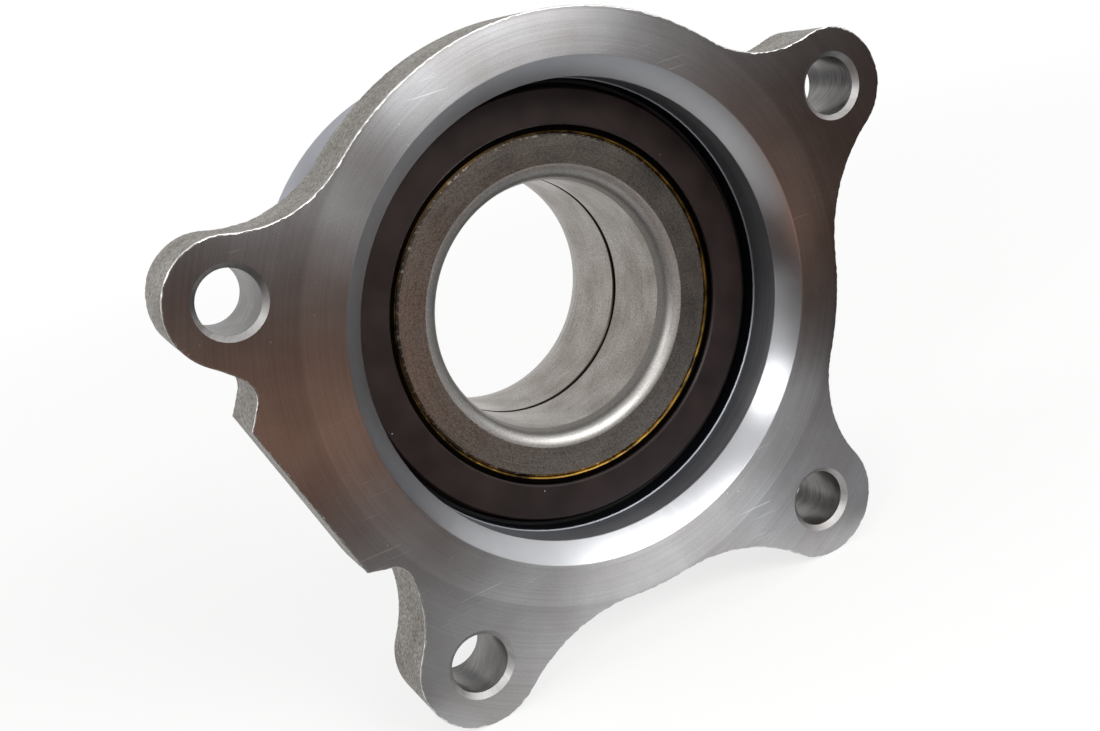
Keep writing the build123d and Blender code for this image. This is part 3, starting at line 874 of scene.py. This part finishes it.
def forgedSideGrid(look):
    # Point (s, t) = outline(s) - outward(s) * (depth * tan(draft) + inset + rounding - grain(s, t)). Ahead of
    # it lie the rows of the burr: flat on the face, then round a corner whose radius wanders along s. A last
    # row covers the flange's back. The random fields get spare rows, so that they don't repeat across t.
    along = np.roll(outline, -1, axis=0) - np.roll(outline, 1, axis=0)
    along /= np.linalg.norm(along, axis=1)[:, None]
    outward = np.stack([along[:, 1], -along[:, 0]], axis=1)
    count, deep, burrDeep = len(outline), flangeBackY - faceY, look["burrDepth"] * mm
    rows = int(deep / (look["step"] * mm)) + 1
    depth = np.linspace(burrDeep, deep, rows)
    rng = np.random.default_rng(look["seed"])
    grain, pits, swell, ragged, fine = (
        grainField(rng, (count, rows + look["spareRows"]), look["step"], size)
        for size in (
            look["grainSize"], look["pitSize"], look["swellSize"], look["burrSize"], look["burrSize"] / 3
        )
    )
    grain = grain[:, :rows] * look["grainHeight"]
    pits = -np.clip(pits[:, :rows] - look["pitStart"], 0, look["pitMost"]) * look["pitHeight"]
    swell = swell[:, :rows] * look["swellHeight"]
    flatAngle = np.radians(look["flatAngle"])
    facing = outward @ np.array([np.cos(flatAngle), np.sin(flatAngle)])
    milled = np.clip((facing - look["flatFacing"]) * look["flatFade"], 0, 1)[:, None]
    height = (grain + pits + swell) * (1 - milled) + grain * look["flatGrain"] * milled
    fromEdge = np.clip((depth - burrDeep) / (look["edgeRun"] * mm), 0, 1)[None]
    height -= look["inset"] * (1 - milled * look["flatRaise"])
    height = np.minimum(height, -look["leastInset"]) * fromEdge
    toBack = (depth - deep + look["backRounding"] * mm) / (look["backRounding"] * mm)
    rounding = look["backRounding"] * (1 - np.sqrt(1 - np.clip(toBack, 0, 1) ** 2))[None]
    offset = (height - rounding) * mm - depth[None] * math.tan(math.radians(look["draft"]))
    plain, raggedShare, fineShare = look["burrShares"]
    wander = look["burrWidth"] * (plain + raggedShare * ragged[:, 0] + fineShare * fine[:, 0])
    wander = np.clip(wander, look["burrLeast"], look["burrWidth"])[:, None]
    turn = np.radians(look["burrTurns"])[None]
    burrOffset = wander * (np.cos(turn) - 1) - look["burrLean"] * np.sin(turn)
    burrRise = np.minimum(wander, look["burrDepth"] * look["burrRound"]) * (1 - np.sin(turn))
    under = np.full((count, 1), -look["burrWidth"] - look["burrLeast"])
    offset = np.hstack([under * mm, burrOffset * mm, offset, offset[:, -1:] - look["backWidth"] * mm])
    rise = np.hstack([
        np.full((count, 1), look["burrSink"]), burrRise, np.broadcast_to(depth[None] / mm, (count, rows)),
        np.full((count, 1), deep / mm + look["backRise"]),
    ])
    flat = outline[:, None] + outward[:, None] * offset[:, :, None]
    return np.stack([flat[:, :, 0], faceY + rise * mm, flat[:, :, 1]], axis=2)


sideGrid = forgedSideGrid(forgedSide)
sideMesh = gridMesh("forgedSide", sideGrid[:, ::-1], closed=True)
for finish in (forgedSkin, faceSteel, burrSteel):
    sideMesh.materials.append(finish)
bands = np.tile(np.arange(sideGrid.shape[1] - 1)[::-1], len(outline))
burrBands = len(forgedSide["burrTurns"])
sideFinish = np.select([bands < 1, bands <= burrBands], [1, 2], default=0)
sideMesh.polygons.foreach_set("material_index", sideFinish.astype(np.int32))
newPiece("forgedSide", sideMesh, "housing")
print("forged side made")


# Bolt holes: the spiral that the drill left on the wall, in mm
drillMarks = {
    "seed": 5,
    "around": 120,
    "step": 0.22,
    "start": 1.25,
    "end": 0.5,
    "feed": 0.9,
    "height": 0.035,
    "clear": 0.01,
    "sharpness": 0.6,
    "fadeStep": 0.4,
    "fadeSize": 3.0,
    "fadeShares": (0.6, 0.4),
    "fadeLimits": (0.1, 1.4),
}


def drilledWall(centre, look, seed):
    # Point (a, y) at radius r - clear - height * ridge, ridge a sharpened sine of the feed and the angle,
    # fading and swelling with a slow random field
    top = faceY + look["start"] * mm
    rows = int((flangeBackY - top) / (look["step"] * mm))
    angle = np.linspace(0, 2 * np.pi, look["around"], endpoint=False)[:, None]
    depth = np.linspace(top, flangeBackY - look["end"] * mm, rows)[None]
    field = grainField(
        np.random.default_rng(seed), (look["around"], rows), look["fadeStep"], look["fadeSize"]
    )
    plain, faded = look["fadeShares"]
    fade = np.clip(plain + faded * field, *look["fadeLimits"])
    ridge = np.abs(np.sin(np.pi * depth / (look["feed"] * mm) + angle / 2)) ** look["sharpness"]
    radius = boltRadius - (look["clear"] + look["height"] * ridge * fade) * mm
    return np.stack([
        centre[0] + radius * np.cos(angle), np.broadcast_to(depth, radius.shape),
        centre[1] + radius * np.sin(angle),
    ], axis=2)


for number, centre in enumerate(boltCentres):
    wall = drilledWall(centre, drillMarks, drillMarks["seed"] + number)
    mesh = gridMesh(f"drilledWall{number + 1}", wall, closed=True)
    mesh.materials.append(drilledSteel)
    newPiece(mesh.name, mesh, "housing")
print("bolt holes drilled")


# Floor, card and lamps, in metres
studio = {
    "worldLevel": 0.55,
    "floorHalf": 12.0,
    "floorPale": "#f2f2f0",
    "whiteShare": 0.75,
    "shadowReach": (0.25, 0.7),
    "keyPlace": (0.37, -0.92, 0.58),
    "keySize": (0.8, 0.4),
    "keyPower": 9.5,
    "smallPlace": (-0.72, -0.74, 0.66),
    "smallSize": (0.3, 0.3),
    "smallPower": 3.0,
    "sidePlace": (-0.9, 0.25, 0.6),
    "sideSize": (0.6, 0.6),
    "sidePower": 3.0,
    "cardNear": ((-2.4, 0.06), (-0.14, 0.03), (-0.10, -0.055), (0.02, -0.068), (0.15, -0.01), (0.20, 0.10)),
    "cardFar": ((-2.4, -1.1), (-0.6, -1.1), (-0.2, -1.1), (0.4, -1.1), (0.9, -1.1), (1.6, 0.10)),
    "cardTop": (0.45, 0.45, 0.12, 0.10, 0.15, 0.15),
    "cardLift": 0.002,  # above the floor
    "cardDark": "#222527",
    "cardBrown": "#cfa189",
    "brownPlace": (-0.04, -0.37),
    "brownReach": (0.10, 0.22),
    "cardGrey": "#b4b8bc",
    "greyPlace": (0.07, -0.10),
    "greyReach": (0.02, 0.10),
    "stripColour": "#f0f0f0",
    "stripPlace": (-0.105, -0.143),
    "stripHeading": (0.8, 0.6),
    "stripHalf": (0.012, 0.03),
    "stripStart": (-0.03, 0.0),
}


def seenRays(tree):
    # 1 for camera, glossy and transmission rays, which all see the white background
    path = addNode(tree, "ShaderNodeLightPath")
    seen = path.outputs["Is Camera Ray"]
    for kind in ("Is Glossy Ray", "Is Transmission Ray"):
        either = addNode(tree, "ShaderNodeMath", {0: seen, 1: path.outputs[kind]}, operation="MAXIMUM")
        seen = either.outputs[0]
    return seen


def emptyTree(holder):
    holder.use_nodes = True
    holder.node_tree.nodes.clear()
    return holder.node_tree


world = bpy.data.worlds.new("studioWorld")
scene.world = world
tree = emptyTree(world)
level = studio["worldLevel"]
soft = addNode(tree, "ShaderNodeBackground", {"Color": (level, level, level, 1.0), "Strength": 1.0})
white = addNode(tree, "ShaderNodeBackground", {"Color": (1, 1, 1, 1), "Strength": 1.0})
both = addNode(tree, "ShaderNodeMixShader", {0: seenRays(tree), 1: soft.outputs[0], 2: white.outputs[0]})
addNode(tree, "ShaderNodeOutputWorld", {"Surface": both.outputs[0]})

# The floor takes the bearing's shadow near it and is seen as white further away
floorMaterial = bpy.data.materials.new("paleFloor")
tree = emptyTree(floorMaterial)
pale = addNode(tree, "ShaderNodeBsdfDiffuse", {"Color": linear(studio["floorPale"])})
glow = addNode(tree, "ShaderNodeEmission", {"Color": (1, 1, 1, 1), "Strength": 1.0})
place = addNode(tree, "ShaderNodeTexCoord").outputs["Object"]
away = addNode(tree, "ShaderNodeVectorMath", {0: place}, operation="LENGTH").outputs["Value"]
shadowEnd, whiteStart = studio["shadowReach"]
whiteness = addNode(
    tree, "ShaderNodeMapRange", {0: away, 1: shadowEnd, 2: whiteStart, 3: studio["whiteShare"], 4: 1.0}
).outputs[0]
share = addNode(tree, "ShaderNodeMath", {0: seenRays(tree), 1: whiteness}, operation="MULTIPLY")
both = addNode(tree, "ShaderNodeMixShader", {0: share.outputs[0], 1: pale.outputs[0], 2: glow.outputs[0]})
addNode(tree, "ShaderNodeOutputMaterial", {"Surface": both.outputs[0]})


def stageObject(name, mesh, material):
    mesh.materials.append(material)
    standing = bpy.data.objects.new(name, mesh)
    scene.collection.objects.link(standing)
    return standing


half = studio["floorHalf"]
floorZ = cadBox[0].z
floorMesh = bpy.data.meshes.new("floor")
floorCorners = ((-half, -half, floorZ), (half, -half, floorZ), (half, half, floorZ), (-half, half, floorZ))
floorMesh.from_pydata(floorCorners, [], [(0, 1, 2, 3)])
stageObject("floor", floorMesh, floorMaterial)

# A dark card in front, along the floor and up behind the camera, seen only in reflections: it gives the
# metal its dark tones, with a brown and a grey patch in front of the bearing and a white strip that runs in
# under it
cardMaterial = bpy.data.materials.new("darkCard")
tree = emptyTree(cardMaterial)
place = addNode(tree, "ShaderNodeTexCoord").outputs["Object"]
fromBrown, fromGrey = (
    addNode(
        tree, "ShaderNodeVectorMath", {0: place, 1: (*studio[middle], floorZ)}, operation="DISTANCE"
    ).outputs["Value"]
    for middle in ("brownPlace", "greyPlace")
)
patches = addNode(tree, "ShaderNodeMix", {
    "Factor": 1.0, 6: ramp(tree, fromBrown, studio["cardBrown"], studio["cardDark"], *studio["brownReach"]),
    7: ramp(tree, fromGrey, studio["cardGrey"], "#000000", *studio["greyReach"]),
}, data_type="RGBA", blend_type="LIGHTEN").outputs[2]
headX, headY = studio["stripHeading"]
fromStrip = addNode(
    tree, "ShaderNodeVectorMath", {0: place, 1: (*studio["stripPlace"], floorZ)}, operation="SUBTRACT"
).outputs[0]
along, aside = (
    addNode(tree, "ShaderNodeVectorMath", {0: fromStrip, 1: way}, operation="DOT_PRODUCT").outputs["Value"]
    for way in ((headX, headY, 0), (-headY, headX, 0))
)
aside = addNode(tree, "ShaderNodeMath", {0: aside}, operation="ABSOLUTE").outputs[0]
within, begun = (
    addNode(tree, "ShaderNodeMapRange", {0: value, 1: band[0], 2: band[1], 3: start, 4: end}).outputs[0]
    for value, band, start, end in (
        (aside, studio["stripHalf"], 1.0, 0.0), (along, studio["stripStart"], 0.0, 1.0),
    )
)
inStrip = addNode(tree, "ShaderNodeMath", {0: within, 1: begun}, operation="MULTIPLY").outputs[0]
tone = addNode(
    tree, "ShaderNodeMix", {"Factor": inStrip, 6: patches, 7: linear(studio["stripColour"])}, data_type="RGBA"
).outputs[2]
dim = addNode(tree, "ShaderNodeEmission", {"Color": tone, "Strength": 1.0})
addNode(tree, "ShaderNodeOutputMaterial", {"Surface": dim.outputs[0]})
near, far = np.array(studio["cardNear"]), np.array(studio["cardFar"])
cardGrid = np.empty((len(near), 3, 3))
cardGrid[:, :, :2] = np.stack([near, far, far], axis=1)
cardGrid[:, :, 2] = floorZ + studio["cardLift"]
cardGrid[:, 2, 2] = studio["cardTop"]
card = stageObject("darkCard", gridMesh("darkCard", cardGrid), cardMaterial)
card.visible_camera = False
card.visible_diffuse = False
card.visible_shadow = False
card.visible_transmission = False

for name in ("key", "small", "side"):
    lamp = bpy.data.lights.new(f"{name}Softbox", "AREA")
    lamp.shape = "RECTANGLE"
    lamp.size, lamp.size_y = studio[f"{name}Size"]
    lamp.energy = studio[f"{name}Power"]
    holder = bpy.data.objects.new(f"{name}Softbox", lamp)
    scene.collection.objects.link(holder)
    holder.location = studio[f"{name}Place"]
    holder.rotation_euler = (-holder.location).to_track_quat("-Z", "Y").to_euler()
scene.view_settings.view_transform = "Standard"
print("studio set")
